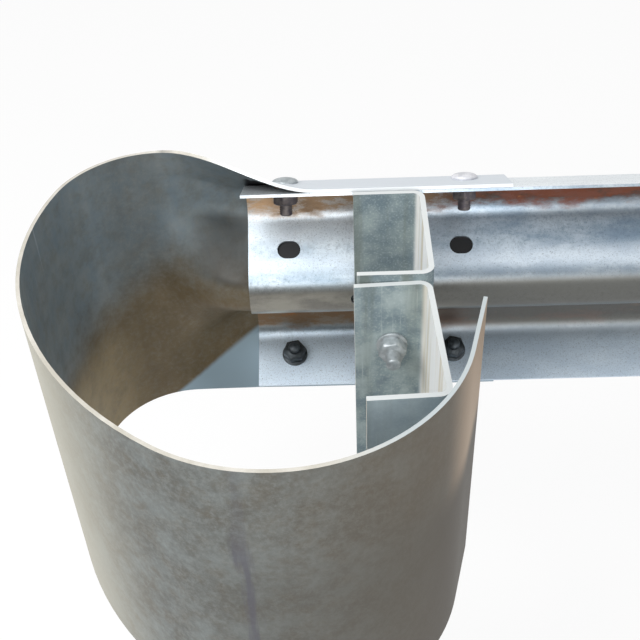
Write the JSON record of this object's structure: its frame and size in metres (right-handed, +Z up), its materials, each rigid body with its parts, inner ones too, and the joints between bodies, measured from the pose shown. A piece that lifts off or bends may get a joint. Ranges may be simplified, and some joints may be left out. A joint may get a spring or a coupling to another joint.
{
  "type": "w-beam guardrail",
  "caption": "Galvanised w-beam road guardrail with a curled end terminal, channel spacer blocks and channel posts, slotted at its far end for the next rail.",
  "frame": {"origin": "at ground level, on the middle of the first post's web", "axes": "+X along the barrier away from the end terminal, +Y towards the traffic, +Z up"},
  "size_m": [4.3461, 0.5386, 0.7956],
  "materials": {
    "terminal_zinc": "weathered hot-dip galvanised sheet, stained brown",
    "rail_zinc": "hot-dip galvanised sheet, bright with rust at the bends",
    "post_zinc": "dull hot-dip galvanised plate",
    "block_zinc": "dull hot-dip galvanised plate"
  },
  "bodies": {
    "root": {"end_terminal": "terminal_zinc", "rail_panel": "rail_zinc", "post_1": "post_zinc", "post_2": "post_zinc", "post_3": "post_zinc", "spacer_block_1": "block_zinc", "spacer_block_2": "block_zinc", "spacer_block_3": "block_zinc"}
  },
  "joints": []
}
